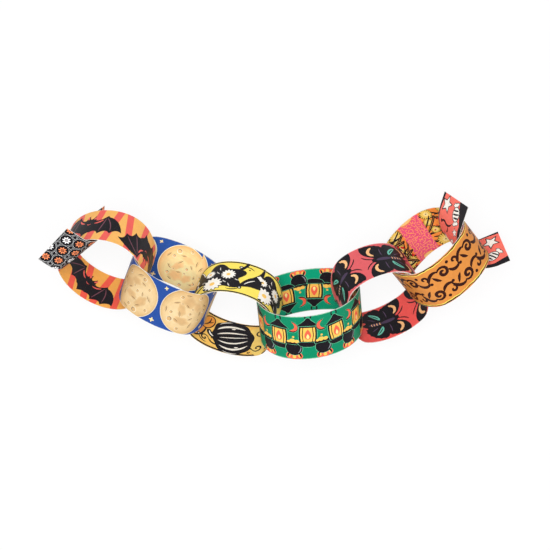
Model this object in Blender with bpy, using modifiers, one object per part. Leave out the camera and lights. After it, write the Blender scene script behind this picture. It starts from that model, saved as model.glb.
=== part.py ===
"""Paper chain garland: eight paper strips, each curled through the last one, laid out on a table.

Six links are closed loops, lapped and glued. The links at the two ends are short open curls, hooked
into their neighbours, with free ends. The chain lies along +X in a shallow U, +Y is the back of the
table and +Z is up. The origin is on the table, under the middle of the chain.
"""

import math

import bmesh
import bpy
from mathutils import Matrix, Vector
from mathutils.bvhtree import BVHTree

# The paper, as it is cut and glued
STRIP_WIDTH = 0.044
PAPER = 0.0003
LAP = 0.015
LAP_GAP = 0.00015
END_TAB = 0.010

# How far apart two links lie where they bear on each other, and how finely a link is slid to get there
BEARING_GAP = 0.00045
SLIDE_STEP = 0.0005
SLIDE_HALVINGS = 9

# How finely the curved paper is divided
STATION = 0.0022
TURN_ROUNDS = 6
BEND_STEP = 0.0003
CURL_ACROSS = 4
PROBE = 0.0006


class Loop:
    """A closed link: a strip bent round until its ends lap, and glued."""

    def __init__(self, name, colour, length, heading, tilt, seam, wound,
                 oval, oval_at, egg, egg_at, square, pitch=0.0, bearing=0.0):
        self.name = name
        self.colour = colour
        self.length = length        # round the loop, without the lap
        self.heading = heading      # degrees, which way the loop's long axis points on the table
        self.tilt = tilt            # degrees, how far the loop is tipped up about that axis
        self.seam = seam            # degrees round the loop, where the outer end of the strip lies
        self.wound = wound          # 1 or -1, the way round that the strip is wound
        self.oval = oval            # share of the radius by which the loop is drawn out
        self.oval_at = oval_at      # degrees, the direction it is drawn out in
        self.egg = egg              # share of the radius by which one end is more pointed
        self.egg_at = egg_at        # degrees, the direction of that end
        self.square = square        # share of the radius by which the sides are flattened
        self.pitch = pitch          # from the last link's middle, before the chain is drawn taut
        self.bearing = bearing      # degrees, the way from the last link to this one
        self.height = None          # a loop stands on the table

    def strip_length(self):
        return self.length + LAP

    def rails(self):
        return [-STRIP_WIDTH / 2, STRIP_WIDTH / 2]

    def radius_share(self, turn):
        """How far the flat side that faces this way lies from the middle, as a share of the radius."""
        return (1 + self.oval * math.cos(2 * (turn - math.radians(self.oval_at)))
                + self.egg * math.cos(3 * (turn - math.radians(self.egg_at)))
                + self.square * math.cos(4 * turn))

    def radius_slope(self, turn):
        return (-2 * self.oval * math.sin(2 * (turn - math.radians(self.oval_at)))
                - 3 * self.egg * math.sin(3 * (turn - math.radians(self.egg_at)))
                - 4 * self.square * math.sin(4 * turn))

    def bend_share(self, turn):
        """The radius of the bend where the paper faces this way, as a share of the loop's radius."""
        return (1 - 3 * self.oval * math.cos(2 * (turn - math.radians(self.oval_at)))
                - 8 * self.egg * math.cos(3 * (turn - math.radians(self.egg_at)))
                - 15 * self.square * math.cos(4 * turn))

    def bent_length(self, turn):
        """The paper between a turn of zero and this turn, as a share of the loop's radius."""
        return (turn - 3 / 2 * self.oval * math.sin(2 * (turn - math.radians(self.oval_at)))
                - 8 / 3 * self.egg * math.sin(3 * (turn - math.radians(self.egg_at)))
                - 15 / 4 * self.square * math.sin(4 * turn))

    def turn_at(self, wanted, turn):
        """The turn where the paper has this bent length, found from a turn close by."""
        for _ in range(TURN_ROUNDS):
            turn -= (self.bent_length(turn) - wanted) / self.bend_share(turn)
        return turn

    def path(self):
        """Points along the strip, in the loop's own plane, from its inner end to its outer end.

        The strip winds out by a paper's thickness in one turn, so that its outer end lies on the
        start of it with the glue between.
        """
        radius = self.length / math.tau
        total = self.strip_length()
        count = round(total / STATION)
        turn = math.radians(self.seam)
        seam_length = self.bent_length(turn)
        points = []
        for index in range(count + 1):
            back = total * index / count
            turn = self.turn_at(seam_length - self.wound * back / radius, turn)
            outward = (PAPER + LAP_GAP) * (0.5 - back / self.length)
            reach = radius * self.radius_share(turn) + outward
            slope = radius * self.radius_slope(turn)
            points.append(Vector((reach * math.cos(turn) - slope * math.sin(turn),
                                  reach * math.sin(turn) + slope * math.cos(turn))))
        points.reverse()
        return points

    def place(self, points, across):
        """Where the edge of the strip at this distance across runs."""
        return [Vector((point.x, point.y, across)) for point in points]


class Curl:
    """An open end link: a strip bent in a U through its neighbour, with two free ends."""

    def __init__(self, name, colour, bend, turn, start, reach_in, reach_out, skew, height,
                 heading, tilt, pitch=0.0, bearing=0.0):
        self.name = name
        self.colour = colour
        self.bend = bend            # length over which the paper is bent
        self.turn = turn            # degrees that it turns through in that length
        self.start = start          # degrees, the way that the paper runs at the middle of the bend
        self.reach_in = reach_in    # from the middle of the bend back to one free end
        self.reach_out = reach_out  # and on to the other
        self.skew = skew            # degrees that the strip runs off square to its bend
        self.height = height        # of the middle of the bend above the table
        self.heading = heading
        self.tilt = tilt
        self.pitch = pitch
        self.bearing = bearing

    def rails(self):
        return [STRIP_WIDTH * (index / CURL_ACROSS - 0.5) for index in range(CURL_ACROSS + 1)]

    def direction(self, distance):
        """The way that the paper runs at this distance from the middle of the bend.

        A free end has nothing to bend it, so both ends run straight for a tab's length.
        """
        skew = math.radians(self.skew)
        lean = STRIP_WIDTH / 2 * abs(math.sin(skew))
        low = max(-self.bend / 2, (END_TAB - self.reach_in) * math.cos(skew) + lean)
        high = min(self.bend / 2, (self.reach_out - END_TAB) * math.cos(skew) - lean)
        share = min(max(distance, low), high) / self.bend
        eased = share + math.sin(math.tau * share) / math.tau
        return math.radians(self.start) + math.radians(self.turn) * eased

    def point_at(self, distance):
        """The point of the bend's outline at this distance from its middle."""
        count = max(1, math.ceil(abs(distance) / BEND_STEP))
        step = distance / count
        point = Vector((0, 0))
        for index in range(count):
            way = self.direction((index + 0.5) * step)
            point += Vector((math.cos(way), math.sin(way))) * step
        return point

    def path(self):
        """Distances along the middle of the strip from one free end to the other."""
        inner = max(2, round((self.reach_in - END_TAB) / STATION))
        outer = max(2, round((self.reach_out - END_TAB) / STATION))
        distances = [-self.reach_in]
        distances += [(END_TAB - self.reach_in) * (1 - index / inner) for index in range(inner)]
        distances += [(self.reach_out - END_TAB) * index / outer for index in range(outer + 1)]
        distances += [self.reach_out]
        return distances

    def place(self, distances, across):
        """The edge at this distance across: a skewed strip runs a little way along its bend's axis."""
        skew = math.radians(self.skew)
        edge = []
        for distance in distances:
            point = self.point_at(distance * math.cos(skew) - across * math.sin(skew))
            edge.append(Vector((point.x, point.y, distance * math.sin(skew) + across * math.cos(skew))))
        return edge


# The links in order along the chain. An amount of oval, egg or square is a share of the radius.
LINKS = [
    Curl("link_1_tile", (0.012, 0.012, 0.014), bend=0.0841, turn=148.4, start=117.7,
         reach_in=0.0592, reach_out=0.0204, skew=6.2, height=0.0736, heading=-57.2, tilt=121.8),
    Loop("link_2_orange", (0.90, 0.30, 0.03), length=0.2440, heading=-14.8, tilt=48.2, seam=200,
         wound=1, oval=0.0364, oval_at=-26.5, egg=0.0404, egg_at=-57.5, square=-0.0045,
         pitch=0.0279, bearing=3.1),
    Loop("link_3_blue", (0.02, 0.09, 0.45), length=0.2558, heading=-25.3, tilt=127.5, seam=300,
         wound=1, oval=0.0402, oval_at=16.1, egg=0.0023, egg_at=-54.6, square=-0.0418,
         pitch=0.0623, bearing=-22.6),
    Loop("link_4_yellow", (0.95, 0.68, 0.05), length=0.2406, heading=-14.5, tilt=47.6, seam=71,
         wound=-1, oval=0.0501, oval_at=2.1, egg=0.0256, egg_at=-38.3, square=-0.0343,
         pitch=0.0607, bearing=-20.3),
    Loop("link_5_green", (0.01, 0.36, 0.16), length=0.2732, heading=6.8, tilt=129.6, seam=286,
         wound=-1, oval=0.0826, oval_at=-12.9, egg=0.0310, egg_at=-29.1, square=-0.0170,
         pitch=0.0663, bearing=-2.7),
    Loop("link_6_coral", (0.90, 0.12, 0.10), length=0.2428, heading=23.4, tilt=48.8, seam=38,
         wound=-1, oval=0.0260, oval_at=-51.3, egg=0.0257, egg_at=-19.1, square=-0.0379,
         pitch=0.0638, bearing=16.0),
    Loop("link_7_amber", (0.90, 0.36, 0.04), length=0.2543, heading=45.2, tilt=127.7, seam=255,
         wound=-1, oval=0.0276, oval_at=77.0, egg=0.0142, egg_at=30.5, square=-0.0298,
         pitch=0.0600, bearing=32.7),
    Curl("link_8_scarlet", (0.88, 0.10, 0.07), bend=0.1772, turn=206.2, start=312.2,
         reach_in=0.0582, reach_out=0.0383, skew=10.8, height=0.0426, heading=26.5, tilt=45.6,
         pitch=0.0249, bearing=7.4),
]


def clear_scene():
    for obj in list(bpy.data.objects):
        bpy.data.objects.remove(obj, do_unlink=True)


def make_collection(name):
    collection = bpy.data.collections.new(name)
    bpy.context.scene.collection.children.link(collection)
    return collection


def paper_material(name, colour):
    material = bpy.data.materials.new(name)
    material.use_nodes = True
    shader = material.node_tree.nodes["Principled BSDF"]
    shader.inputs["Base Color"].default_value = (*colour, 1.0)
    shader.inputs["Roughness"].default_value = 0.5
    shader.inputs["Metallic"].default_value = 0.0
    return material


def turned(link):
    """The link's turn: tipped up about its long axis, then headed round on the table."""
    heading = Matrix.Rotation(math.radians(link.heading), 4, "Z")
    return heading @ Matrix.Rotation(math.radians(link.tilt), 4, "X")


def strip_mesh(link):
    """The middle face of the bent paper: one loft from edge to edge through the link's rails."""
    path = link.path()
    mesh = bmesh.new()
    rails = []
    for across in link.rails():
        corners = [mesh.verts.new(point) for point in link.place(path, across)]
        rails.append([mesh.edges.new(pair) for pair in zip(corners, corners[1:])])
    for near, far in zip(rails, rails[1:]):
        bmesh.ops.bridge_loops(mesh, edges=near + far)
    bmesh.ops.recalc_face_normals(mesh, faces=mesh.faces)
    return mesh


def edge_probes(link, rotation):
    """Close points along both cut edges and the middle of a strip, for finding where links bear."""
    path = link.path()
    probes = []
    for across in (-STRIP_WIDTH / 2, 0.0, STRIP_WIDTH / 2):
        rail = [rotation @ point for point in link.place(path, across)]
        for start, end in zip(rail, rail[1:]):
            parts = max(1, math.ceil((end - start).length / PROBE))
            probes += [start.lerp(end, part / parts) for part in range(parts)]
        probes.append(rail[-1])
    return probes


def smallest_distance(first, second, offset):
    """The least distance between two strips' middle faces when the second is moved by offset."""
    reach = STRIP_WIDTH
    best = reach
    for tree, probes, move in ((first["tree"], second["probes"], offset),
                               (second["tree"], first["probes"], -offset)):
        for probe in probes:
            found = tree.find_nearest(probe + move, best)
            if found[0] is not None:
                best = min(best, found[3])
    return best


def draw_taut(first, second, link):
    """Slide a link along the chain until it bears on the last one, and say where its middle is."""
    way = Vector((math.cos(math.radians(link.bearing)), math.sin(math.radians(link.bearing)), 0))
    base = first["place"].copy()
    base.z = second["rest"]
    wanted = PAPER + BEARING_GAP

    def gap(pitch):
        return smallest_distance(first, second, base + way * pitch - first["place"])

    free = link.pitch
    while gap(free) <= wanted and free > 0:
        free -= SLIDE_STEP
    bearing = free + SLIDE_STEP
    while gap(bearing) > wanted and bearing < 2 * link.pitch:
        free, bearing = bearing, bearing + SLIDE_STEP
    for _ in range(SLIDE_HALVINGS):
        middle = (free + bearing) / 2
        if gap(middle) > wanted:
            free = middle
        else:
            bearing = middle
    return base + way * free


def lay_out(links):
    """Place every link: the loops stand on the table, and each is drawn along until it bears."""
    laid = []
    for link in links:
        rotation = turned(link)
        mesh = strip_mesh(link)
        bmesh.ops.transform(mesh, matrix=rotation, verts=mesh.verts)
        lowest = min(vert.co.z for vert in mesh.verts)
        item = {
            "tree": BVHTree.FromBMesh(mesh),
            "probes": edge_probes(link, rotation),
            "rest": -lowest if link.height is None else link.height,
            "points": [vert.co.copy() for vert in mesh.verts],
        }
        mesh.free()
        if laid:
            item["place"] = draw_taut(laid[-1], item, link)
        else:
            item["place"] = Vector((0, 0, item["rest"]))
        laid.append(item)
    corners = [point + item["place"] for item in laid for point in item["points"]]
    middle = Vector((
        (min(corner.x for corner in corners) + max(corner.x for corner in corners)) / 2,
        (min(corner.y for corner in corners) + max(corner.y for corner in corners)) / 2,
        min(corner.z for corner in corners) - PAPER / 2,
    ))
    return [item["place"] - middle for item in laid]


def make_link(link, place, collection):
    """One link as an object: the bent face, given the paper's thickness."""
    mesh = strip_mesh(link)
    data = bpy.data.meshes.new(link.name)
    mesh.to_mesh(data)
    mesh.free()
    data.materials.append(paper_material(link.name, link.colour))
    data.shade_smooth()
    obj = bpy.data.objects.new(link.name, data)
    obj.matrix_world = Matrix.Translation(place) @ turned(link)
    collection.objects.link(obj)
    thick = obj.modifiers.new("paper", "SOLIDIFY")
    thick.thickness = PAPER
    thick.offset = 0.0
    thick.use_even_offset = True
    return obj


clear_scene()
garland = make_collection("paper_chain_garland")
for strip, spot in zip(LINKS, lay_out(LINKS)):
    make_link(strip, spot, garland)
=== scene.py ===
"""Looks for the paper chain garland: eight printed paper strips, curled through each other.

Each strip is printed flat, on both sides, and then bent along the shape that its solid has.
"""

import math
import random

import bpy
import numpy as np
from mathutils import Matrix, Vector
from mathutils.geometry import delaunay_2d_cdt


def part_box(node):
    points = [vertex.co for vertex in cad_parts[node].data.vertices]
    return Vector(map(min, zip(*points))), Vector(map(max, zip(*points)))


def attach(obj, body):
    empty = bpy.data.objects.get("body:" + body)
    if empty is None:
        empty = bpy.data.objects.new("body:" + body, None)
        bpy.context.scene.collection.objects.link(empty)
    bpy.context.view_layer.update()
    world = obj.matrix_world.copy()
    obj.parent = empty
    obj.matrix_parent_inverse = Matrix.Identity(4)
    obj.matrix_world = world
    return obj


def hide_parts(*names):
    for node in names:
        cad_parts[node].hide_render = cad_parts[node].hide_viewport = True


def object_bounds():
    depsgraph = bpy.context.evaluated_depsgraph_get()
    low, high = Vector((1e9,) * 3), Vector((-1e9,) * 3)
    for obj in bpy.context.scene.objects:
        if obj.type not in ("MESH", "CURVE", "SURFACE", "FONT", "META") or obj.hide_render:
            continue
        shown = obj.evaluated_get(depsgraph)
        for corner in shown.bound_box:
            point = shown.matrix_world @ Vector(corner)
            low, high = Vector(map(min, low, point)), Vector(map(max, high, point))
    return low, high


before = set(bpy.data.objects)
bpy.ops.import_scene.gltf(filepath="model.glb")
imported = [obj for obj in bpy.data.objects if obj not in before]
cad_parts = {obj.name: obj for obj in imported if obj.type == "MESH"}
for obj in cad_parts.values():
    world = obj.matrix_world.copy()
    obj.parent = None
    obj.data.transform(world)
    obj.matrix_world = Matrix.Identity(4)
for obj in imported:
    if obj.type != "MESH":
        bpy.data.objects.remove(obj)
cad_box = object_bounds()
scene = bpy.context.scene
scene.view_settings.view_transform = "Standard"

# The table and the light
# The chain lies on a plain white table and is photographed from almost straight above, from the
# side of the table, in broad soft light that leaves only a faint shadow close to the paper.
TABLE_SIZE = 60.0
TABLE_DROP = 0.0004
TABLE_GREY = (0.88, 0.88, 0.89, 1)
TABLE_GLOW = 0.885
bpy.ops.object.select_all(action="DESELECT")
bpy.ops.mesh.primitive_plane_add(size=TABLE_SIZE, location=(0, 0, cad_box[0][2] - TABLE_DROP))
table = bpy.context.object
table.name = "table"
bpy.ops.object.transform_apply(location=True, rotation=False, scale=False)
table_top = bpy.data.materials.new("table_white")
table_top.use_nodes = True
nodes, links = table_top.node_tree.nodes, table_top.node_tree.links
nodes.clear()
out = nodes.new("ShaderNodeOutputMaterial")
lit = nodes.new("ShaderNodeBsdfDiffuse")
lit.inputs["Color"].default_value = TABLE_GREY
white = nodes.new("ShaderNodeEmission")
white.inputs["Color"].default_value = (1, 1, 1, 1)

# The camera sees the table mostly as an even white, and the lamps light the rest of it.
rays = nodes.new("ShaderNodeLightPath")
direct = nodes.new("ShaderNodeMath")
direct.operation = "MAXIMUM"
links.new(rays.outputs["Is Camera Ray"], direct.inputs[0])
links.new(rays.outputs["Is Glossy Ray"], direct.inputs[1])
share = nodes.new("ShaderNodeMath")
share.operation = "MULTIPLY"
share.inputs[1].default_value = TABLE_GLOW
links.new(direct.outputs[0], share.inputs[0])
both = nodes.new("ShaderNodeMixShader")
links.new(share.outputs[0], both.inputs[0])
links.new(lit.outputs[0], both.inputs[1])
links.new(white.outputs[0], both.inputs[2])
links.new(both.outputs[0], out.inputs["Surface"])
table.data.materials.append(table_top)

SKY_STRENGTH = 0.5
world = bpy.data.worlds.new("studio")
scene.world = world
world.use_nodes = True
world.node_tree.nodes["Background"].inputs["Color"].default_value = (1, 1, 1, 1)
world.node_tree.nodes["Background"].inputs["Strength"].default_value = SKY_STRENGTH

LAMPS_AIM_AT = Vector((0, 0, 0.04))
for name, place, size, power in (
    ("window_overhead", (-0.2, -0.3, 1.9), 1.3, 32.0),
    ("bounce_front_right", (1.0, -1.1, 1.5), 1.6, 6.0),
):
    lamp = bpy.data.lights.new(name, "AREA")
    lamp.shape = "SQUARE"
    lamp.size = size
    lamp.energy = power
    holder = bpy.data.objects.new(name, lamp)
    holder.location = place
    holder.rotation_euler = (LAMPS_AIM_AT - Vector(place)).to_track_quat("-Z", "Y").to_euler()
    scene.collection.objects.link(holder)

# The camera
# It stands 1.5 m away and looks down at 81 degrees, square to the chain.
CAMERA_DISTANCE = 1.5
CAMERA_ELEVATION = math.radians(81)
CAMERA_TARGET = Vector((-0.0003, 0.0022, 0.040))
PIXELS_PER_METRE = 1123.6
IMAGE_WIDTH = 550
camera = bpy.data.objects.new("camera", bpy.data.cameras.new("camera"))
scene.collection.objects.link(camera)
scene.camera = camera
camera.location = CAMERA_TARGET + CAMERA_DISTANCE * Vector(
    (0, -math.cos(CAMERA_ELEVATION), math.sin(CAMERA_ELEVATION)))
camera.rotation_euler = (CAMERA_TARGET - camera.location).to_track_quat("-Z", "Y").to_euler()
camera.data.sensor_fit = "HORIZONTAL"
camera.data.angle = 2 * math.atan(IMAGE_WIDTH / 2 / PIXELS_PER_METRE / CAMERA_DISTANCE)
camera.data.clip_end = 20

# Link 2, the orange one: bats over slanting stripes
# A strip of light card, printed on both sides, bent into a loop by hand and glued where its ends
# lap. The print is cut into the mesh as fields of ink, so the strip is made in mesh code.
STRIP_WIDTH = 0.044
PAPER = 0.0003
LAP = 0.015
LAP_GAP = 0.00015
BARE_PAPER = (0.80, 0.78, 0.74, 1.0)

# How finely the sheets are divided, in metres
CROSS = 0.0015
SAME_POINT = 1e-7
ON_EDGE = 1e-6

# How far a field of ink runs across a sheet, past its edges, and along the longest sheet, in
# millimetres
PAST_EDGE = 23
SHEET_END = 288

# How the turn of the paper is found from its length
TURN_ROUNDS = 60
LARGEST_STEP = 0.15


def bent_loop(length, seam, wound, oval, oval_at, egg, egg_at, square):
    """Where a lapped loop runs: a function from places on the flat strip to points and normals.

    The seam and the ways that the loop is drawn out in are degrees round it. The amounts of oval, egg
    and square are shares of its radius. The strip's cut length comes with the function.
    """
    # The loop is three waves on a circle, and 3, 8 and 15 are what they take from its bend.
    radius = length / math.tau
    oval_at, egg_at = math.radians(oval_at), math.radians(egg_at)
    seam = math.radians(seam)

    def bent_length(turn):
        return (turn - 3 / 2 * oval * np.sin(2 * (turn - oval_at))
                - 8 / 3 * egg * np.sin(3 * (turn - egg_at)) - 15 / 4 * square * np.sin(4 * turn))

    def shape(along, across):
        back = length + LAP - along
        wanted = bent_length(seam) - wound * back / radius
        turn = wanted.copy()
        for _ in range(TURN_ROUNDS):
            bend = (1 - 3 * oval * np.cos(2 * (turn - oval_at)) - 8 * egg * np.cos(3 * (turn - egg_at))
                    - 15 * square * np.cos(4 * turn))
            turn -= np.clip((bent_length(turn) - wanted) / bend, -LARGEST_STEP, LARGEST_STEP)
        reach = radius * (1 + oval * np.cos(2 * (turn - oval_at)) + egg * np.cos(3 * (turn - egg_at))
                          + square * np.cos(4 * turn)) + (PAPER + LAP_GAP) * (0.5 - back / length)
        slope = radius * (-2 * oval * np.sin(2 * (turn - oval_at)) - 3 * egg * np.sin(3 * (turn - egg_at))
                          - 4 * square * np.sin(4 * turn))
        normal = np.stack([np.cos(turn), np.sin(turn), np.zeros(len(turn))], axis=1)
        points = np.stack([reach * np.cos(turn) - slope * np.sin(turn),
                           reach * np.sin(turn) + slope * np.cos(turn), across], axis=1)
        return points, normal

    return shape, length + LAP


def printed_side(length, ground, fields):
    """One side of a flat printed strip: its points on the sheet, and triangles with a colour each.

    The fields of ink are outlines in millimetres, each with its ink, and later ones cover earlier ones.
    """
    half = STRIP_WIDTH / 2
    points = [Vector((0, -half)), Vector((length, -half)), Vector((length, half)), Vector((0, half))]
    faces = [[0, 1, 2, 3]]
    inks = [ground]
    for outline, colour in fields:
        area = sum(a[0] * b[1] - b[0] * a[1] for a, b in zip(outline, outline[1:] + outline[:1]))
        ordered = outline if area > 0 else outline[::-1]
        faces.append(list(range(len(points), len(points) + len(ordered))))
        points += [Vector((x / 1000, y / 1000)) for x, y in ordered]
        inks.append(colour)
    edges = []
    count = math.ceil(length / CROSS)
    for index in range(1, count):
        along = length * index / count
        edges.append((len(points), len(points) + 1))
        points += [Vector((along, -half)), Vector((along, half))]
    flat, _, triangles, _, _, origins = delaunay_2d_cdt(points, edges, faces, 0, SAME_POINT)
    kept = [(face, inks[max(origin)]) for face, origin in zip(triangles, origins) if 0 in origin]
    used = sorted({corner for face, _ in kept for corner in face})
    number = {corner: index for index, corner in enumerate(used)}
    return (np.array([tuple(flat[corner]) for corner in used]),
            [([number[corner] for corner in face], colour) for face, colour in kept])


# The flat map has six panels, three for each side of the strip. Above them lie the cut edges, those
# of the outside on one line and those of the inside on the other.
BAKE_ROWS = 3
PANEL_MARGIN = 0.02
PANEL_LENGTH = 0.96
PANEL_HEIGHT = 0.94
RIM_LINES = (0.998, 0.996)


def bake_place(along, across, length, outside, row):
    """Where a point of the sheet lies on the flat map."""
    column = 0 if outside else 1
    return ((column + PANEL_MARGIN + PANEL_LENGTH * (along * BAKE_ROWS / length - row)) / 2,
            (row + PANEL_MARGIN + PANEL_HEIGHT * (across / STRIP_WIDTH + 0.5)) / BAKE_ROWS)


def make_strip(name, bent, turn, outside, inside):
    """Bend a strip's two printed sides along its shape, close its cut edges and put it in its place.

    Each side is its ground and its fields of ink.
    """
    shape, length = bent
    half = STRIP_WIDTH / 2
    vertices, leans, faces, colours, sheet, layout = [], [], [], [], [], []
    sides = []
    for side, (ground, fields) in ((1, outside), (-1, inside)):
        flat, printed = printed_side(length, ground, fields)
        points, normals = shape(flat[:, 0].copy(), flat[:, 1].copy())
        start = len(vertices)
        vertices += list(points + side * PAPER / 2 * normals)
        leans += list(side * normals)
        sheet += flat.tolist()
        sides.append((start, flat))
        for face, colour in printed:
            a, b, c = (vertices[start + corner] for corner in face)
            facing = np.dot(np.cross(b - a, c - a), leans[start + face[0]])
            faces.append([start + corner for corner in (face if facing > 0 else face[::-1])])
            colours.append(colour)
            row = min(int(BAKE_ROWS * flat[list(face), 0].mean() / length), BAKE_ROWS - 1)
            layout += [bake_place(*sheet[corner], length, side > 0, row) for corner in faces[-1]]
    printed_faces = len(faces)

    # The cut edges: each side's rim is joined to the other's, corner by corner, in bare paper.
    for axis, edge in ((1, -half), (1, half), (0, 0.0), (0, length)):
        rails = []
        for start, flat in sides:
            rim = [corner for corner in range(len(flat)) if abs(flat[corner][axis] - edge) < ON_EDGE]
            rim.sort(key=lambda corner: flat[corner][1 - axis])
            rails.append([start + corner for corner in rim])
        outer, inner = rails
        a = b = 0
        while a < len(outer) - 1 or b < len(inner) - 1:
            forward = b == len(inner) - 1 or (
                a < len(outer) - 1 and sheet[outer[a + 1]][1 - axis] <= sheet[inner[b + 1]][1 - axis])
            if forward:
                ring = [outer[a], outer[a + 1], inner[b]]
                a += 1
            else:
                ring = [outer[a], inner[b + 1], inner[b]]
                b += 1
            faces.append(ring)
            colours.append(BARE_PAPER)
            layout += [(0.5 * sheet[corner][1 - axis] / length % 1, RIM_LINES[corner >= sides[1][0]])
                       for corner in ring]

    placed = np.array(vertices) @ np.array(turn.to_3x3()).T
    low, high = (np.array(corner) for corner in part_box(name))
    placed += (low + high) / 2 - (placed.min(axis=0) + placed.max(axis=0)) / 2
    mesh = bpy.data.meshes.new(name)
    mesh.from_pydata(placed.tolist(), [], faces)
    spread = np.repeat(np.array(colours), 3, axis=0)
    mesh.color_attributes.new("print", "FLOAT_COLOR", "CORNER").data.foreach_set("color", spread.ravel())
    corners = [corner for face in faces for corner in face]
    flat_map = mesh.uv_layers.new(name="sheet")
    flat_map.data.foreach_set("uv", np.array([sheet[corner] for corner in corners]).ravel())
    mesh.uv_layers.new(name="OFBake").data.foreach_set("uv", np.array(layout).ravel())
    strip = bpy.data.objects.new(name + "_print", mesh)
    scene.collection.objects.link(strip)
    bpy.ops.object.select_all(action="DESELECT")
    strip.select_set(True)
    bpy.context.view_layer.objects.active = strip
    bpy.ops.object.mode_set(mode="EDIT")
    bpy.ops.mesh.select_all(action="SELECT")
    bpy.ops.mesh.normals_make_consistent(inside=False)
    bpy.ops.object.mode_set(mode="OBJECT")

    # The printed faces are shaded as the true curve, and the cut edges stay flat.
    smooth = np.array(leans) @ np.array(turn.to_3x3()).T
    mesh.polygons.foreach_set("use_smooth", [index < printed_faces for index in range(len(faces))])
    mesh.normals_split_custom_set([tuple(smooth[loop.vertex_index]) if index < 3 * printed_faces
                                   else (0, 0, 0) for index, loop in enumerate(mesh.loops)])
    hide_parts(name)
    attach(strip, "root")
    mesh.materials.append(printed_card(name + "_card"))


SPECK_TINT = (0.62, 0.58, 0.56, 1)
EDGE_NIBBLE = 0.0007
RUBBED_FROM = STRIP_WIDTH / 2 - 0.00005
RUBBED_TO = STRIP_WIDTH / 2 + 0.0003
FIBRE_RISE = 0.00006


def printed_card(name):
    """Light card with a printed coat: slightly uneven ink, fine fibres and pale, worn cut edges."""
    material = bpy.data.materials.new(name)
    material.use_nodes = True
    nodes, links = material.node_tree.nodes, material.node_tree.links
    shader = nodes["Principled BSDF"]
    shader.inputs["Specular IOR Level"].default_value = 0.12
    print_ink = nodes.new("ShaderNodeVertexColor")
    print_ink.layer_name = "print"
    flat = nodes.new("ShaderNodeUVMap")
    flat.uv_map = "sheet"

    def noise(scale, detail, roughness):
        cloud = nodes.new("ShaderNodeTexNoise")
        cloud.inputs["Scale"].default_value = scale
        cloud.inputs["Detail"].default_value = detail
        cloud.inputs["Roughness"].default_value = roughness
        links.new(flat.outputs["UV"], cloud.inputs["Vector"])
        return cloud.outputs["Fac"]

    def ranged(value, low, high, new_low, new_high):
        node = nodes.new("ShaderNodeMapRange")
        limits = {"From Min": low, "From Max": high, "To Min": new_low, "To Max": new_high}
        for slot, number in limits.items():
            node.inputs[slot].default_value = number
        links.new(value, node.inputs["Value"])
        return node.outputs["Result"]

    def sums(operation, first, second=None, third=None):
        node = nodes.new("ShaderNodeMath")
        node.operation = operation
        for slot, value in enumerate((first, second, third)):
            if isinstance(value, float):
                node.inputs[slot].default_value = value
            elif value is not None:
                links.new(value, node.inputs[slot])
        return node.outputs[0]

    def mixed(share, first, second):
        node = nodes.new("ShaderNodeMix")
        node.data_type = "RGBA"
        links.new(share, node.inputs["Factor"])
        links.new(first, node.inputs["A"])
        if isinstance(second, tuple):
            node.inputs["B"].default_value = second
        else:
            links.new(second, node.inputs["B"])
        return node.outputs["Result"]

    # The ink lies a little thicker and thinner in clouds, and soft tones are mottled more strongly.
    clouds = noise(230, 5, 0.7)
    blotches = noise(85, 4, 0.6)
    even = ranged(clouds, 0.3, 0.7, 0.92, 1.05)
    toned = ranged(blotches, 0.34, 0.64, 0.66, 1.06)
    soft = sums("SUBTRACT", 1.0, print_ink.outputs["Alpha"])
    tone = sums("MULTIPLY_ADD", sums("SUBTRACT", toned, 1.0), soft, even)
    laid = nodes.new("ShaderNodeVectorMath")
    laid.operation = "SCALE"
    links.new(print_ink.outputs["Color"], laid.inputs[0])
    links.new(tone, laid.inputs["Scale"])

    # Paper shows through in fine specks, and the cut edges are rubbed pale.
    fibres = noise(2400, 4, 0.6)
    specks = ranged(noise(1500, 2, 0.5), 0.66, 0.76, 0.0, 0.22)
    specked = mixed(specks, laid.outputs["Vector"], SPECK_TINT)
    apart = nodes.new("ShaderNodeSeparateXYZ")
    links.new(flat.outputs["UV"], apart.inputs[0])
    across = sums("ABSOLUTE", apart.outputs["Y"])
    nibbled = sums("MULTIPLY_ADD", noise(420, 4, 0.6), EDGE_NIBBLE, across)
    rubbed = ranged(nibbled, RUBBED_FROM, RUBBED_TO, 0.0, 0.8)
    links.new(mixed(rubbed, specked, BARE_PAPER), shader.inputs["Base Color"])

    links.new(ranged(sums("ADD", fibres, clouds), 0.6, 1.4, 0.34, 0.58), shader.inputs["Roughness"])
    rise = nodes.new("ShaderNodeBump")
    rise.inputs["Strength"].default_value = 0.3
    rise.inputs["Distance"].default_value = FIBRE_RISE
    links.new(fibres, rise.inputs["Height"])
    links.new(rise.outputs["Normal"], shader.inputs["Normal"])
    return material


def ink(code, softness=0.0):
    """A printing ink from its colour on screen, and how strongly it is mottled."""
    parts = [int(code[index:index + 2], 16) / 255 for index in (0, 2, 4)]
    light = [part / 12.92 if part <= 0.04045 else ((part + 0.055) / 1.055) ** 2.4 for part in parts]
    return (*light, 1.0 - softness)


def curve(path, mirrored=False, steps=5):
    """A smooth line through corners with a pull point between each two."""
    line = []
    for index in range(0, len(path) - 2, 2):
        (x0, y0), (x1, y1), (x2, y2) = path[index:index + 3]
        for step in range(steps):
            t = step / steps
            line.append(((1 - t) ** 2 * x0 + 2 * t * (1 - t) * x1 + t * t * x2,
                         (1 - t) ** 2 * y0 + 2 * t * (1 - t) * y1 + t * t * y2))
    line.append(path[-1])
    if mirrored:
        line += [(-x, y) for x, y in line[-2:0:-1]]
    return line


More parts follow.
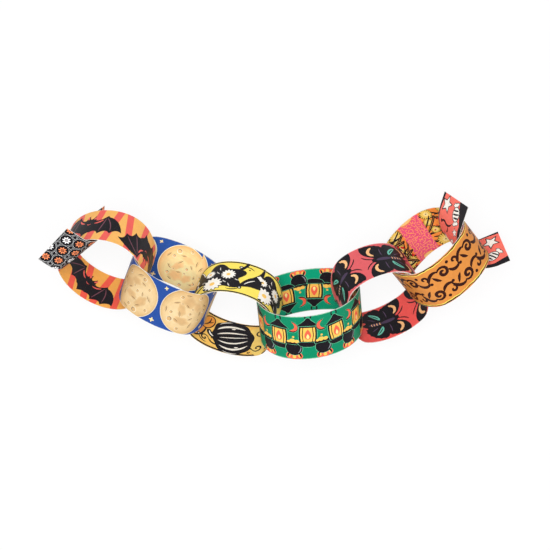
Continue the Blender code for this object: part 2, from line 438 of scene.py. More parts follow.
def round_shape(x, y, wide, high=None, lean=0, waves=0, depth=0.0, start=0, corners=30):
    """An oval, with a wavy edge if asked."""
    high = wide if high is None else high
    lean = math.radians(lean)
    line = []
    for index in range(corners):
        angle = math.tau * index / corners
        size = 1 + depth * math.cos(waves * angle + start)
        a, b = wide * size * math.cos(angle), high * size * math.sin(angle)
        line.append((x + a * math.cos(lean) - b * math.sin(lean),
                     y + a * math.sin(lean) + b * math.cos(lean)))
    return line


def stroke(line, width, ends=0.35):
    """A brush stroke along a line, thinner at its two ends."""
    left, right = [], []
    for index, (x, y) in enumerate(line):
        before, after = line[max(index - 1, 0)], line[min(index + 1, len(line) - 1)]
        dx, dy = after[0] - before[0], after[1] - before[1]
        size = math.hypot(dx, dy) or 1
        half = width / 2 * (ends + (1 - ends) * math.sin(math.pi * index / (len(line) - 1)) ** 0.5)
        left.append((x - dy / size * half, y + dx / size * half))
        right.append((x + dy / size * half, y - dx / size * half))
    return left + right[::-1]


def put(motif, x, y, turn=0, size=1, flip=1):
    """A motif put on the sheet at a place, in millimetres, a turn and a size. A flip of -1 mirrors it."""
    cos, sin = math.cos(math.radians(turn)) * size, math.sin(math.radians(turn)) * size
    return [([(x + flip * a * cos - b * sin, y + flip * a * sin + b * cos) for a, b in outline], colour)
            for outline, colour in motif]


def both_halves(motif):
    """A motif with its own mirror image."""
    return motif + [([(-x, y) for x, y in outline], colour) for outline, colour in motif]


def turned(heading, tilt):
    """A link's turn: tipped up about its long axis, then headed round on the table, in degrees."""
    return Matrix.Rotation(math.radians(heading), 4, "Z") @ Matrix.Rotation(math.radians(tilt), 4, "X")


BLACK_INK = ink("17131A")
WHITE_INK = ink("FBF6EC")
BAT_RED = ink("F4685E")
WING_RIB = ink("7A4A58")
bat = [(curve([(0, 6.2), (1.2, 6), (2.4, 10.5), (3.6, 8), (4.4, 5), (8, 4), (12, 12), (13.4, 10), (15, 10.5),
               (23, 9), (28, -3), (23, -0.5), (20, -8), (16.5, -3), (11.5, -11), (9, -5.5), (4.6, -10),
               (3, -9), (0, -15)], mirrored=True), BLACK_INK)]
bat += both_halves([(stroke(curve([(12.3, 9), (17.5, 4), (19.6, -5)]), 0.8), WING_RIB),
                    (stroke(curve([(11.6, 8.5), (11.5, 0), (11.4, -8)]), 0.8), WING_RIB),
                    (stroke(curve([(4.2, 1.5), (8.0, 2.2), (10.0, 6.2)]), 1.3), BAT_RED),
                    (round_shape(3.0, 7.6, 0.8, 1.7, -20), BAT_RED)])
bat += [(stroke([(-1.6, 0.4), (0, -0.6), (1.6, 0.4)], 0.8), BAT_RED)]
STRIPE_PITCH = 15.6
STRIPE_WIDTH = 6.4
BAT_PITCH = 62


def bat_sheet(stripe, first, turns):
    """Stripes that lean this way and that, with a bat at each of these turns."""
    sheet = []
    half_top = STRIPE_WIDTH / 2 + 0.1
    half_bottom = STRIPE_WIDTH / 2 - 0.1
    for index in range(-1, 18):
        x = STRIPE_PITCH * index + 2.5
        lean = 4.5 * math.sin(1.9 * index)
        sheet.append(([(x - half_top - lean, PAST_EDGE), (x + half_top - lean, PAST_EDGE),
                       (x + half_bottom + lean, -PAST_EDGE), (x - half_bottom + lean, -PAST_EDGE)], stripe))
    for index, turn in enumerate(turns):
        sheet += put(bat, first + BAT_PITCH * index, 1.5 - 3 * (index % 2), turn, 1.18)
    return sheet


make_strip("link_2_orange",
           bent_loop(length=0.2440, seam=200, wound=1, oval=0.0364, oval_at=-26.5,
                     egg=0.0404, egg_at=-57.5, square=-0.0045),
           turned(heading=-14.8, tilt=48.2),
           # The inside's inks are painted brighter and deeper than the outside's, for the shade and the
           # orange light bounced round inside the loop.
           outside=(ink("F6B763"), bat_sheet(ink("EE625A"), first=26, turns=(18, 195, 24, 172, 20))),
           inside=(ink("FDB556"), bat_sheet(ink("F8604E"), first=50, turns=(205, 15, 200, 10))))

# Link 3, the blue one: a row of full moons
# The same card and bend. Its print is pale moons with craters and small stars between them, and the
# moons are as wide as the strip, so that its edges cut a little off them.
MOON_TURN = 67


def moon(sunny_side, painted_light_level):
    """A full moon with soft seas and craters, 23.6 mm in radius, with every tone scaled by a painted light
    level, which paints it paler where its side of the strip lies in shade and deeper where the light falls
    fully.
    """
    a, b = math.cos(math.radians(sunny_side)), math.sin(math.radians(sunny_side))
    tones = [(23.6, 0.0, "FFF0CC"), (23.0, 0.0, "D9AC70"), (22.6, 0.4, "E0B377"), (22.0, 1.0, "E7BC80"),
             (21.2, 1.7, "ECC388"), (20.0, 2.7, "F1CA90"), (18.2, 4.0, "F5D097"), (15.8, 5.4, "F8D69F"),
             (12.4, 7.0, "FADAA5"), (8.0, 8.6, "FCDEAB")]
    motif = [(round_shape(a * off, b * off, size, corners=72), ink(tone, 0.18)) for size, off, tone in tones]
    seas = ((-8.0, 7.0, 7.6, 0.72, 20), (1.5, 10.5, 6.0, 0.62, -20), (-4.5, -2.5, 6.8, 0.5, -20),
            (6.0, -8.5, 7.4, 0.55, 35))
    for share, tone in ((1.0, "F5D098"), (0.88, "F2CB92"), (0.74, "EFC68D"), (0.58, "ECC188")):
        for x, y, size, stretch, lean in seas:
            motif.append((round_shape(x, y, size * share, size * share * stretch, lean, 5, 0.12, x, 40),
                          ink(tone, 0.3)))
    craters = ((-1, -17, 2.6), (11.5, 13, 2.1), (-15.5, 3.5, 1.8), (3.5, 1.2, 1.5), (-6.5, -12.5, 1.7),
               (-5.5, 17.0, 1.9), (16.0, 4.0, 1.4), (11.0, -16.0, 1.6), (0.5, 5.5, 1.0), (-9.5, 0.5, 0.9))
    for x, y, size in craters:
        away, toward = -0.12 * size, 0.06 * size
        motif.append((round_shape(x, y, size, corners=18), ink("FFF1D0")))
        motif.append((round_shape(x + away * a, y + away * b, 0.82 * size, corners=18), ink("8F6C48")))
        motif.append((round_shape(x + toward * a, y + toward * b, 0.7 * size, corners=18), ink("E9BD82")))
    ridges = ((6.5, 16.0, 10, 3.6), (-12.5, -3.0, 70, 3.0), (14.5, -4.5, 115, 3.4), (-1.5, -6.5, -25, 3.2),
              (-14.0, 9.5, 50, 2.6), (2.5, -12.5, 15, 2.8), (10.0, 8.5, -40, 2.6), (-5.0, 3.5, 5, 2.2),
              (8.5, -1.0, 80, 2.4), (-11.0, -15.0, -35, 3.0))
    for x, y, lean, reach in ridges:
        crest = curve([(-reach, 0), (0, 0.35 * reach), (reach, 0)])
        foot = curve([(-0.7 * reach, -0.8), (0, 0.2 * reach - 0.8), (0.6 * reach, -0.9)])
        motif += put([(stroke(crest, 0.75, 0.1), ink("9C7750")), (stroke(foot, 0.5, 0.1), ink("C79B66"))],
                     x, y, lean)
    # Each tone is scaled by the painted light level, a stand-in for how the light falls on this side of the
    # strip.
    return [(outline, (*(min(part * painted_light_level, 1.0) for part in colour[:3]), colour[3]))
            for outline, colour in motif]


def moon_sheet(first, pitch, painted_light_level):
    """A row of moons, the sunny side of each turned on from the last one's, with two stars after each."""
    small_star = [(round_shape(0, 0, 1.7, waves=4, depth=0.45, corners=24), ink("F5DDA0"))]
    sheet = []
    for index in range(math.ceil(SHEET_END / pitch) + 1):
        x = first % pitch + pitch * (index - 0.5) - pitch / 2
        sheet += put(moon(130 + 70 * index, painted_light_level), x, (-1.5, 1.5)[index % 2], MOON_TURN * index)
        sheet += put(small_star, x + pitch / 2 + 1.5, 17.5)
        sheet += put(small_star, x + pitch / 2 - 1.5, -17.8, 20, 0.8)
    return sheet


make_strip("link_3_blue",
           bent_loop(length=0.2558, seam=300, wound=1, oval=0.0402, oval_at=16.1,
                     egg=0.0023, egg_at=-54.6, square=-0.0418),
           turned(heading=-25.3, tilt=127.5),
           # Both sides carry the same moons. The inside's blue and moons are painted lighter and the
           # outside's moons deeper, as painted shade and light for the two sides of the loop.
           outside=(ink("274C98", 0.1), moon_sheet(first=88.5, pitch=50.6, painted_light_level=0.80)),
           inside=(ink("2A54A4", 0.1), moon_sheet(first=242.5, pitch=50.8, painted_light_level=1.22)))

# Link 4, the yellow one: black brambles, daisies and hats outside, black pumpkins inside
# The same card, printed yellow on one side. The other side's gold ground is the yellow painted deeper, as
# painted shade and yellow light bounced round inside the loop. A thin black line runs along both edges of
# each side.
# Gold is the inside's ground, painted deeper as shade and bounced light, and also a printed ink for small
# eyes, buckles and dots.
GOLD_INK = ink("FFCD68")
PITH_INK = ink("FFDC78")


def edge_lines(height, thick, colour):
    """Two printed lines along a strip, at this height from its middle."""
    return [([(0, side * height), (SHEET_END, side * height), (SHEET_END, side * (height + thick)),
              (0, side * (height + thick))], colour) for side in (-1, 1)]


def spiral(x, y, start, turns, size, way):
    """A line that winds in to a point."""
    line = []
    for index in range(19):
        share = index / 18
        angle = math.radians(start) + way * math.tau * turns * share
        reach = size * (1 - 0.86 * share)
        line.append((x + reach * math.cos(angle), y + reach * math.sin(angle)))
    return line


def daisy(x, y, size):
    """A white flower with a gold eye, in a black round."""
    return [(round_shape(x, y, size * 1.13, waves=13, depth=0.10, corners=65), BLACK_INK),
            (round_shape(x, y, size, waves=13, depth=0.16, corners=65), WHITE_INK),
            (round_shape(x, y, size * 0.30), GOLD_INK)]


bramble = [(round_shape(0, 0, 18, 14, 8, 5, 0.20, 2.2, 60), BLACK_INK),
           (stroke(curve([(12, -5), (21, -8), (24, -17)]), 2.6), BLACK_INK),
           (stroke(curve([(-12, 4), (-22, 4), (-27, 11)]), 3.2, 0.1), BLACK_INK)]
bramble += daisy(-6.5, 6.5, 6.9) + daisy(6.5, -2.0, 5.0) + daisy(-7.5, -7.0, 3.6)
thorn = [(stroke([(-1.9, 0), (0, 0.4), (1.9, 0)], 0.7), WHITE_INK)]
for x, y, turn in ((-14, -1, 20), (-1, -6, 60), (1, -10.5, 90), (12.5, 5, 30), (6, 10.5, 75), (3, 6, 50)):
    bramble += put(thorn, x, y, turn)
hat = [(curve([(-16, -9.5), (-8.5, -5), (-5.5, 4), (-3, 14), (4, 19), (3.5, 12), (7, 4), (8.5, -5),
               (16, -9.5), (0, -15), (-16, -9.5)], steps=7), BLACK_INK),
       (stroke(curve([(-14, -9.3), (0, -13.8), (14, -9.3)], steps=8), 0.8), WHITE_INK),
       (curve([(-7.6, -3.5), (0, -7.5), (7.6, -3.5), (7.2, -1.8), (6.9, 0), (0, -4), (-6.6, 0), (-7, -1.8),
               (-7.6, -3.5)]), WHITE_INK),
       ([(-2.2, -5.9), (2.2, -5.9), (2.0, -1.3), (-2.0, -1.3)], BLACK_INK),
       ([(-1.2, -4.9), (1.2, -4.9), (1.1, -2.3), (-1.1, -2.3)], GOLD_INK),
       (stroke(curve([(-2.0, 3), (-1, 9), (1.5, 13)]), 0.9), WHITE_INK)]
sprig = [(stroke(curve([(-7, 0), (0, 4), (6, -1)]), 1.5, 0.2), BLACK_INK),
         (round_shape(6.5, -1.6, 2.1), BLACK_INK),
         (round_shape(6.5, -1.6, 0.9), WHITE_INK),
         (round_shape(-2.5, -1.6, 1.1, 0.8, 20), BLACK_INK)]
bramble_sheet = edge_lines(19.8, 1.7, BLACK_INK)
for start in (-38, 26, 90, 154, 218):
    bramble_sheet += put(bramble, start, 1, -14 if start % 4 else 10, 1.16)
    bramble_sheet += put(hat, start + 35, -1, 62 if start % 4 else -118, 1.14)
    bramble_sheet += put(sprig, start + 14, 15.5, -10, 0.9) + put(sprig, start + 22, -15.0, 190, 0.9)

pumpkin = [(round_shape(0, 0, 21.5, 18.5, waves=8, depth=0.035, start=0.4, corners=64), BLACK_INK),
           (stroke(curve([(-1, 16), (1, 21), (7, 21.5)]), 5.0, 0.6), BLACK_INK),
           (stroke(curve([(0, 17.5), (1.5, 20.5), (5.5, 20.8)]), 1.5, 0.6), WHITE_INK)]
pumpkin += both_halves([(stroke(curve([(3.5, 13.5), (9.5, 2), (4, -13)], steps=8), 1.7, 0.1), WHITE_INK),
                        (stroke(curve([(9.5, 12.8), (19.0, 1), (10.5, -12)], steps=8), 2.3, 0.1), WHITE_INK),
                        (stroke(curve([(16, 10.5), (20.5, 5), (20, -2)]), 0.8, 0.1), WHITE_INK),
                        (round_shape(12.0, -2.0, 0.7, 1.8), WHITE_INK)])
pumpkin += [(stroke(curve([(0, 12), (1.2, 0), (0, -13.5)], steps=8), 1.1, 0.1), WHITE_INK)]
pod = [(round_shape(0, 0, 8.8, 13.8), BLACK_INK),
       (round_shape(0, 0, 7.2, 12.2), ink("F9A545")),
       (stroke(curve([(-2, -9), (4, 0), (-1, 9)]), 1.9), BLACK_INK),
       (stroke(curve([(1.2, -1), (4, 2), (4.5, 6)]), 1.4), BLACK_INK)]
curl = [(stroke(spiral(0, 0, 0, 1.15, 3.8, 1), 1.5, 0.35), BLACK_INK),
        (stroke(curve([(3.8, 0), (5.5, -6.5), (12, -6)], steps=7), 1.7, 0.3), BLACK_INK),
        (round_shape(7.5, 1.2, 1.4, 1.0, 20), BLACK_INK),
        (round_shape(7.5, 1.2, 0.6, 0.4, 20), GOLD_INK)]
pumpkin_sheet = edge_lines(19.6, 1.9, BLACK_INK)
for start in (-25, 45, 114.5, 184, 254):
    pumpkin_sheet += [(round_shape(start - 24, 0, 11, 21, 8, 3, 0.12, 1.0, 40), PITH_INK)]
    pumpkin_sheet += put(pod, start + 35, 2, -12, 1.08) + put(pod, start + 25.5, -9, 160, 0.7)
    pumpkin_sheet += put(curl, start - 25, 11, 30, 1.25) + put(curl, start - 24, -10, -60, 1.15, -1)
    pumpkin_sheet += put(curl, start + 25, 12, 200, 1.1)
    pumpkin_sheet += put(pumpkin, start, 0.5, -74, 1.04)
    pumpkin_sheet += put(sprig, start + 27, 14.5, -25, 0.8) + put(sprig, start + 43, -15.5, 170, 0.8)
make_strip("link_4_yellow",
           bent_loop(length=0.2406, seam=71, wound=-1, oval=0.0501, oval_at=2.1,
                     egg=0.0256, egg_at=-38.3, square=-0.0343),
           turned(heading=-14.5, tilt=47.6),
           outside=(ink("FFE664"), bramble_sheet),
           # The inside's ground is painted gold, as shade and bounced yellow light on the yellow card.
           inside=(GOLD_INK, pumpkin_sheet))

# Link 5, the green one: hanging lanterns, with cauldrons and crescents between them
# The same card. Most dark parts of the figures have a fine pale green line round them.
GREEN_INK = ink("02946B")
PALE_GREEN = ink("6CC79B")
FLAME_INK = ink("F8654A")
AMBER_INK = ink("FBC45A")
GREY_INK = ink("8E939A")


def rimmed(outline, rim=0.35, colour=BLACK_INK, rim_colour=PALE_GREEN):
    """A shape with a fine line of another colour round it."""
    x = sum(point[0] for point in outline) / len(outline)
    y = sum(point[1] for point in outline) / len(outline)
    wide = []
    for a, b in outline:
        size = math.hypot(a - x, b - y) or 1
        wide.append((a + rim * (a - x) / size, b + rim * (b - y) / size))
    return [(wide, rim_colour), (outline, colour)]


flame = curve([(0, 4.6), (2.4, 1.6), (2.2, -0.6), (1.6, -3.0), (0, -3.0)], mirrored=True)
lantern = [(round_shape(0, 15.2, 2.7, 3.0), BLACK_INK),
           (round_shape(0, 15.2, 1.6, 1.9), GREEN_INK)]
lantern += rimmed(curve([(0, 14), (1.6, 13.6), (2.2, 12), (4.8, 9.6), (8.4, 6.8), (4, 6.4), (0, 6.4)],
                        mirrored=True))
lantern += rimmed(curve([(0, 6.6), (3.5, 6.6), (6.4, 6.6), (7.4, -1), (6.2, -7.6), (3, -7.6), (0, -7.6)],
                        mirrored=True))
lantern += rimmed(curve([(0, -7), (4, -7), (7.8, -7.6), (6.4, -10.4), (3.6, -11.0), (2, -11.2), (0, -11.2)],
                        mirrored=True))
lantern += [(curve([(0, 5.4), (3, 5.4), (5.2, 5.4), (6.0, -1), (5.0, -6.4), (2.6, -6.4), (0, -6.4)],
                   mirrored=True), AMBER_INK),
            ([(x * 1.15, y * 1.15 - 1.2) for x, y in flame], FLAME_INK),
            ([(x * 0.5, y * 0.55 - 2.4) for x, y in flame], ink("FFE494"))]
lantern += both_halves([(stroke([(3.5, 5.6), (4.1, -0.8), (3.4, -6.6)], 0.7, 0.9), BLACK_INK)])
cauldron = []
for share, tone in ((1.0, FLAME_INK), (0.5, AMBER_INK)):
    for place, size, drop in ((-4.8, 1.25, 0.2), (4.8, 1.25, 0.2), (0, 1.5, -0.8)):
        cauldron.append(([(x * size * share + place, y * size * share * 0.8 - 8.6 + drop)
                          for x, y in flame], tone))
cauldron += rimmed(curve([(0, 4.6), (4, 4.6), (6.2, 4.6), (9.4, -1), (5.6, -5.4), (3.4, -7.6), (0, -7.6)],
                         mirrored=True))
cauldron += rimmed(curve([(0, 6.4), (5, 6.4), (7.4, 6.0), (8.2, 5.0), (7.4, 4.0), (5, 3.6), (0, 3.6)],
                         mirrored=True))
cauldron += both_halves([(stroke([(4.6, -5.6), (5.6, -7.4), (6.2, -9.6)], 1.7, 0.8), BLACK_INK)])
cauldron += [(stroke(curve([(-6.0, 1.6), (-6.8, -2.2), (-3.4, -5.2)]), 0.8, 0.2), GREY_INK),
             (round_shape(-2.6, 7.0, 2.2, 1.7), AMBER_INK),
             (round_shape(1.4, 7.6, 2.6, 2.1), AMBER_INK),
             (round_shape(4.8, 6.8, 1.5, 1.2), AMBER_INK),
             (round_shape(0.4, 11.6, 1.0), AMBER_INK)]
crescent = rimmed(curve([(-1.5, 6.2), (7.2, 3.6), (5.2, -3.6), (2.4, -8.6), (-4.4, -5.4), (1.6, -4.6),
                         (2.2, -0.4), (2.0, 4.6), (-1.5, 6.2)]))
crescent += [([(0.82 * x + 0.5, 0.8 * y) for x, y in crescent[1][0]], FLAME_INK)]


def lantern_row(first, pitch, upright):
    """A row of lanterns with a cauldron and a crescent between each two, upright or upside down."""
    sheet = edge_lines(21.2, 0.35, PALE_GREEN)
    side, turn = (1, 0) if upright else (-1, 180)
    for index in range(-1, math.floor((SHEET_END - first) / pitch) + 2):
        x = first + pitch * index
        sheet += put(lantern, x, side * (3.6, 1.8)[index % 2], turn + (4, -5, 2)[index % 3], 1.18)
        sheet += put(cauldron, x + pitch / 2, -10.2 * side, turn + (-4, 3)[index % 2], 0.98)
        sheet += put(crescent, x + pitch / 2, 11.8 * side, turn + (10, -14, 0)[index % 3], 0.92,
                     (1, -1)[index % 2])
    return sheet


make_strip("link_5_green",
           bent_loop(length=0.2732, seam=286, wound=-1, oval=0.0826, oval_at=-12.9,
                     egg=0.0310, egg_at=-29.1, square=-0.0170),
           turned(heading=6.8, tilt=129.6),
           outside=(ink("02865F"), lantern_row(first=11.5, pitch=26.2, upright=False)),
           # The inside's green is painted lighter than the outside's, to make up for the shade inside the
           # loop.
           inside=(ink("029C75"), lantern_row(first=4.0, pitch=26.2, upright=True)))

# Link 6, the coral one: big black moths
# The same card. The moths have peach and mint marks and ragged wings that reach both edges.
PEACH_INK = ink("F9BE84")
MINT_INK = ink("6FCBB5")
DUSK_INK = ink("5E4A66")
FUR_INK = ink("4A3B55")
MOTH_PITCH = 47.2
wing = [(0, 14), (2.2, 14), (3.2, 11), (8, 18.5), (14, 19.6), (19.5, 21), (22.4, 18.6), (21.2, 16),
        (22.0, 13.6), (20.6, 11.8), (21.4, 9.2), (19.8, 7.6), (20.2, 5.0), (18.4, 3.8), (18.6, 1.4),
        (17.4, 0.6), (16.4, -0.4), (19.6, -1.4), (20.6, -5.2), (19.2, -6.8), (19.8, -9.8), (17.8, -11.2),
        (17.8, -14.2), (15.2, -14.8), (14.2, -18.0), (11.6, -17.4), (9.8, -20.4), (8.0, -18.6),
        (5.4, -19.6), (4.0, -15.4), (2.6, -18), (1.8, -20.6), (0, -21.5)]
moth = [(stroke(curve([(1.2, 11), (3, 18), (9, 21)]), 1.3, 0.4), BLACK_INK),
        (stroke(curve([(-1.2, 11), (-3, 18), (-9, 21)]), 1.3, 0.4), BLACK_INK),
        (curve(wing, mirrored=True, steps=3), BLACK_INK)]
moth += both_halves([(stroke(curve([(6.0, 10.4), (12.4, 16.2), (18.0, 9.2)], steps=7), 4.0, 0.15), PEACH_INK),
                     (stroke(curve([(7.4, 10.2), (12.4, 13.6), (16.4, 9.0)]), 1.3, 0.2), BLACK_INK),
                     (stroke(curve([(4.6, -3.4), (10.2, -5.0), (14.6, -11.6)], steps=7), 3.6, 0.1), MINT_INK),
                     (stroke(curve([(6.2, -4.2), (10.0, -5.8), (13.2, -10.4)]), 1.1, 0.1), BLACK_INK),
                     (stroke(curve([(4.6, 3.0), (10, 3.8), (15, 2.6)]), 0.8, 0.1), DUSK_INK),
                     (stroke(curve([(4.4, -8.0), (7.0, -11.0), (8.6, -14.6)]), 0.8, 0.1), DUSK_INK)])
moth += [(round_shape(0, 3.2, 2.0, 6.6), FUR_INK),
         (round_shape(0, -9, 1.9, 6.4), FUR_INK)]
moth += [(stroke([(-1.5, y), (0, y - 0.5), (1.5, y)], 0.9, 0.5), PEACH_INK)
         for y in (-4.6, -7.2, -9.8, -12.2)]


def moth_sheet(first, turns):
    """A moth at each of these turns, between two fine pale lines."""
    sheet = edge_lines(21.3, 0.4, ink("F9A5A2"))
    for index, turn in enumerate(turns):
        sheet += put(moth, first + MOTH_PITCH * index, (-0.5, 0.8)[index % 2], turn)
    return sheet


make_strip("link_6_coral",
           bent_loop(length=0.2428, seam=38, wound=-1, oval=0.0260, oval_at=-51.3,
                     egg=0.0257, egg_at=-19.1, square=-0.0379),
           turned(heading=23.4, tilt=48.8),
           # The inside's coral is painted brighter and redder than the outside's, for the shade and the red
           # light bounced round inside the loop.
           outside=(ink("DF6065"), moth_sheet(first=6, turns=(-88, 96, -84, 92, -95, 90))),
           inside=(ink("F05955"), moth_sheet(first=12, turns=(84, -92, 88, -96, 90, -85))))

# Link 7, the amber one: two rows of dark scrolls outside, patterned panels inside
# The same card. A thin dark and yellow line runs near each edge of the outside, and its ground is painted
# darker toward one end, as shade at the bend there.
SCROLL_INK = ink("35130B")
SCROLL_LINE = ink("F4DC62")
SCROLL_PITCH = 32
scroll = [(stroke(curve([(-14, -3), (-10, 6.5), (-3.8, 3.6)], steps=7), 2.7, 0.3), SCROLL_INK),
          (stroke(spiral(0, 0.2, 150, -1.35, 4.9, 1), 2.6, 0.35), SCROLL_INK),
          (stroke(curve([(4.6, -0.6), (8, -7), (14, -3)], steps=7), 2.7, 0.3), SCROLL_INK),
          (stroke(spiral(11.5, 2.2, -70, 0.9, 3.0, 1), 2.0, 0.4), SCROLL_INK),
          (curve([(-9.5, 1.4), (-9, -5), (-4.2, -5.8), (-6, -1), (-9.5, 1.4)]), SCROLL_INK),
          (round_shape(-12.2, -4.0, 1.3), SCROLL_INK),
          (round_shape(6.4, 5.0, 1.3), SCROLL_INK)]
# Painted shade: the ground steps darker twice toward the far end, where the strip bends.
scroll_sheet = [([(start, -PAST_EDGE), (SHEET_END, -PAST_EDGE), (SHEET_END, PAST_EDGE), (end, PAST_EDGE)],
                 ink(tone)) for start, end, tone in ((165, 175, "DC8440"), (182, 194, "D47036"))]
for height, thick, colour in ((19.3, 1.1, SCROLL_LINE), (20.2, 1.3, SCROLL_INK)):
    for side in (-1, 1):
        lower = [(x, side * (height + 0.3 * math.sin(x / 3.1 + side) + 0.2 * math.sin(x / 1.3)))
                 for x in np.arange(-1, SHEET_END, 1.5)]
        upper = [(x, y + side * thick * (0.8 + 0.35 * math.sin(x / 5.3))) for x, y in lower]
        scroll_sheet += [(lower + upper[::-1], colour)]
for index in range(9):
    scroll_sheet += put(scroll, SCROLL_PITCH * index + 6, 9.3, 0, 1.2)
    scroll_sheet += put(scroll, SCROLL_PITCH * index + 21, -8.9, 180, 1.2, -1)

PETALS_OUTER = 16
PETALS_INNER = 9
BERRY_INK = ink("D8352B")
bloom = [(round_shape(0, 0, 8.2, waves=16, depth=0.05, corners=48), ink("6E5220"))]
outer_petal = [(round_shape(5.0, 0, 3.0, 1.0, corners=12), ink("F3CF63"))]
inner_petal = [(round_shape(2.2, 0, 1.5, 0.7, corners=10), ink("FBE59A"))]
for index in range(PETALS_OUTER):
    bloom += put(outer_petal, 0, 0, 360 / PETALS_OUTER * index)
for index in range(PETALS_INNER):
    bloom += put(inner_petal, 0, 0, 360 / PETALS_INNER * index + 9)
bough = [(stroke(curve([(-13, 4), (-2, 2.5), (13, -4)], steps=8), 3.0, 0.7), BLACK_INK),
         (stroke(curve([(-11, 3.5), (-2, 2.2), (11, -3.6)], steps=8), 0.6, 0.5), ink("C98A48")),
         (stroke(curve([(-12, -2), (-4, -2.5), (9, -8)], steps=8), 1.9, 0.5), BLACK_INK),
         (stroke(curve([(2, 1), (5, 5), (6, 10)]), 1.3, 0.3), BLACK_INK),
         (round_shape(-8.5, 8, 1.3), BERRY_INK),
         (round_shape(2.5, 6.5, 1.1), BERRY_INK),
         (round_shape(9.5, 4.0, 1.1), BERRY_INK)]

# A panel is pink with fine orange squiggles, and has a half round in amber at each end.
PANEL_HALF = 12.5
panel_waves = random.Random(7)
panel = [([(-PANEL_HALF, -PAST_EDGE), (PANEL_HALF, -PAST_EDGE), (PANEL_HALF, PAST_EDGE),
           (-PANEL_HALF, PAST_EDGE)], ink("E9557F"))]
for row in range(19):
    for column in range(10):
        x = 2.5 * column - 11.2 + panel_waves.uniform(-0.5, 0.5)
        y = 2.4 * row - 21.4 + panel_waves.uniform(-0.5, 0.5)
        bow = panel_waves.choice((-1.1, 1.1))
        squiggle = stroke(curve([(-1.2, 0), (0, bow), (1.2, 0)], steps=3), 0.7, 0.5)
        panel += put([(squiggle, ink("FDA75A"))], x, y, panel_waves.uniform(0, 180))
for y in (-PAST_EDGE, PAST_EDGE):
    panel += [(round_shape(0, y, 7.6, 4.6), ink("E08A3C")),
              (round_shape(0, y, 6.9, 4.0), ink("FBC77E"))]

patch_sheet = []
scatter = random.Random(3)
for start in (-58, -8, 42, 91, 141, 190, 249.5):
    for along, across, turn, size in ((-24, -13, -8, 1), (-25, 5, 16, 0.95), (-22, 18, -5, 1)):
        patch_sheet += put(bough, start + along, across, turn, size)
    for side in (-1, 1):
        for y in (-19, -7, 4, 16):
            patch_sheet += put(bloom, start + side * scatter.uniform(15.5, 22), y + scatter.uniform(-3, 3),
                               scatter.uniform(0, 20), scatter.uniform(0.5, 0.95))
    for along, across, turn, size in ((21, -12, 32, 0.95), (20, 10, -38, 0.85), (-19, -5, 64, 0.8),
                                      (16, 1, 75, 0.7)):
        patch_sheet += put(bough, start + along, across, turn, size)
    patch_sheet += put(panel, start, 0, -3)
make_strip("link_7_amber",
           bent_loop(length=0.2543, seam=255, wound=-1, oval=0.0276, oval_at=77.0,
                     egg=0.0142, egg_at=30.5, square=-0.0298),
           turned(heading=45.2, tilt=127.7),
           outside=(ink("D88A40", 0.15), scroll_sheet),
           inside=(ink("F8933F"), patch_sheet))

# Link 1, the tile one, at the left end
# The end link isn't closed: it is a strip curled once through its neighbour, with both ends free.
# Its print is an old tile pattern of flowers in black rounds.
END_TAB = 0.010
CURL_REACH = 0.1
CURL_STEPS = 4001


def bent_curl(bend, turn, start, reach_in, reach_out, skew):
    """Where an open curl runs: a function from places on the flat strip to points and normals.

    It bends over a distance and through a turn, and its ends run out straight. The strip lies at a
    small skew on the curl. The reaches are its lengths on each side of the middle of the bend, and
    their sum, the strip's cut length, comes with the function.
    """
    skew = math.radians(skew)
    lean = STRIP_WIDTH / 2 * abs(math.sin(skew))
    low = max(-bend / 2, (END_TAB - reach_in) * math.cos(skew) + lean)
    high = min(bend / 2, (reach_out - END_TAB) * math.cos(skew) - lean)
    distances = np.linspace(-CURL_REACH, CURL_REACH, CURL_STEPS)
    part = np.clip(distances, low, high) / bend
    ways = math.radians(start) + math.radians(turn) * (part + np.sin(math.tau * part) / math.tau)
    step = distances[1] - distances[0]
    middle = (ways[1:] + ways[:-1]) / 2
    xs = np.concatenate([[0], np.cumsum(np.cos(middle)) * step])
    ys = np.concatenate([[0], np.cumsum(np.sin(middle)) * step])
    xs -= np.interp(0, distances, xs)
    ys -= np.interp(0, distances, ys)

    def shape(along, across):
        distance = along - reach_in
        run = distance * math.cos(skew) - across * math.sin(skew)
        rise = distance * math.sin(skew) + across * math.cos(skew)
        way = np.interp(run, distances, ways)
        points = np.stack([np.interp(run, distances, xs), np.interp(run, distances, ys), rise], axis=1)
        return points, np.stack([np.sin(way), -np.cos(way), np.zeros(len(way))], axis=1)

    return shape, reach_in + reach_out


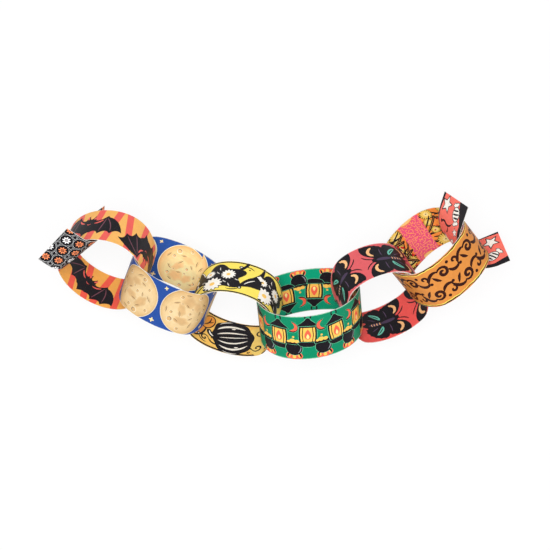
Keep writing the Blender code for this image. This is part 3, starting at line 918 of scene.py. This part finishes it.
TILE_WHITE = ink("F4F4F4")
TILE_BLACK = ink("131216")
TILE_PITCH = 11.8
TILE_TURN = 18
TILE_START = (76.5, 15)
gap = [([(-2.5, 0), (0, -2.5), (2.5, 0), (0, 2.5)], TILE_WHITE),
       ([(-2.22, 0), (0, -2.22), (2.22, 0), (0, 2.22)], TILE_BLACK)]
cos, sin = math.cos(math.radians(TILE_TURN)), math.sin(math.radians(TILE_TURN))
tile_sheet = []
for column in range(-9, 5):
    for row in range(-5, 7):
        x = TILE_START[0] + TILE_PITCH * (column * cos - row * sin)
        y = TILE_START[1] + TILE_PITCH * (column * sin + row * cos)
        petals = TILE_WHITE if (column + 2 * row) % 3 == 1 else ink("F58F5E")
        flower = [(round_shape(0, 0, 5.9, corners=32), TILE_WHITE),
                  (round_shape(0, 0, 5.72, corners=32), TILE_BLACK),
                  (round_shape(0, 0, 3.0, waves=8, depth=0.27, corners=64), petals),
                  (round_shape(0, 0, 1.6, corners=16), ink("4A1610")),
                  (round_shape(0, 0, 0.95, corners=14), petals),
                  (round_shape(0, 0, 0.55, corners=10), TILE_BLACK)]
        # Tiles that don't reach the strip are left out.
        if -12 < x < 92 and -30 < y < 30:
            tile_sheet += put(flower, x, y, TILE_TURN)
            tile_sheet += put(gap, x + TILE_PITCH / 2 * (cos - sin), y + TILE_PITCH / 2 * (sin + cos),
                              TILE_TURN)
make_strip("link_1_tile",
           bent_curl(bend=0.0841, turn=148.4, start=117.7, reach_in=0.0592, reach_out=0.0204, skew=6.2),
           turned(heading=-57.2, tilt=121.8),
           outside=(TILE_BLACK, tile_sheet),
           inside=(TILE_BLACK, tile_sheet))

# Link 8, the scarlet one, at the right end: striped sweets, stars and tendrils between black edges
# It is open, like link 1, and hooks round link 7.
SCARLET_INK = ink("FA7566")
SWEET_PITCH = 34


def star(size):
    """A five-pointed star."""
    return [(size * (1, 0.47)[index % 2] * math.sin(math.pi * index / 5),
             size * (1, 0.47)[index % 2] * math.cos(math.pi * index / 5)) for index in range(10)]


def wavy_edge(height, swing, edge):
    """A black border with a wavy inner line, at this height from the strip's middle."""
    line = [(x, height + swing * math.cos(x / 8.5)) for x in range(-2, 101, 3)]
    return line + [(100, edge), (-2, edge)], BLACK_INK


white_star = [(star(8.2), BLACK_INK), (star(6.3), WHITE_INK)]
wrapper = [(5.0, 0), (8.8, 4.4), (10.0, 1.7), (9.3, 0), (10.2, -2.0), (8.6, -4.6)]
sweet = both_halves(rimmed(wrapper, 0.8, WHITE_INK, BLACK_INK))
sweet += rimmed(round_shape(0, 0, 6.2, 4.9), 0.8, WHITE_INK, BLACK_INK)
for x, reach in ((-3.4, 3.6), (0, 4.6), (3.4, 3.6)):
    sweet += [(stroke([(x - 0.9, -reach), (x + 0.3, 0), (x + 0.9, reach)], 1.7, 0.7), BLACK_INK)]
tendril = [(stroke(curve([(-9, 3), (-1, 5), (2, 0), (4, -4), (9, -3)], steps=6), 2.1, 0.15), BLACK_INK),
           (stroke(curve([(-1, 3.5), (1, 7.5), (5, 7)]), 1.6, 0.2), BLACK_INK),
           (round_shape(8.6, -3.2, 1.6), BLACK_INK)]


def sweet_sheet(first, flip, end, corner):
    """Sweets and stars between wavy borders, with a black wedge in one corner at this end."""
    sheet = [wavy_edge(18.6, 1.6, PAST_EDGE), wavy_edge(-19.6, 1.0, -PAST_EDGE)]
    rise = 19.8 - corner
    sheet += [([(end, corner), (end + 8 * flip, corner + 0.24 * rise), (end + 16 * flip, corner + 0.6 * rise),
                (end + 25 * flip, corner + rise), (end + 25 * flip, PAST_EDGE), (end, PAST_EDGE)],
               BLACK_INK)]
    for index in range(-3, 4):
        x = first + SWEET_PITCH * index
        sheet += put(sweet, x + 4.5 * flip, 7.2, 24 * flip)
        sheet += put(white_star, x + flip, -11.4, 14, 1.12)
        sheet += put(tendril, x + 16 * flip, -5.0, -62 * flip, 1.1, flip)
        sheet += put(white_star, x + 20 * flip, 12, 40, 0.6)
    return sheet


make_strip("link_8_scarlet",
           bent_curl(bend=0.1772, turn=206.2, start=312.2, reach_in=0.0582, reach_out=0.0383, skew=10.8),
           turned(heading=26.5, tilt=45.6),
           outside=(SCARLET_INK, sweet_sheet(first=7.5, flip=1, end=-1, corner=7.0)),
           inside=(SCARLET_INK, sweet_sheet(first=88.0, flip=-1, end=98, corner=14.0)))
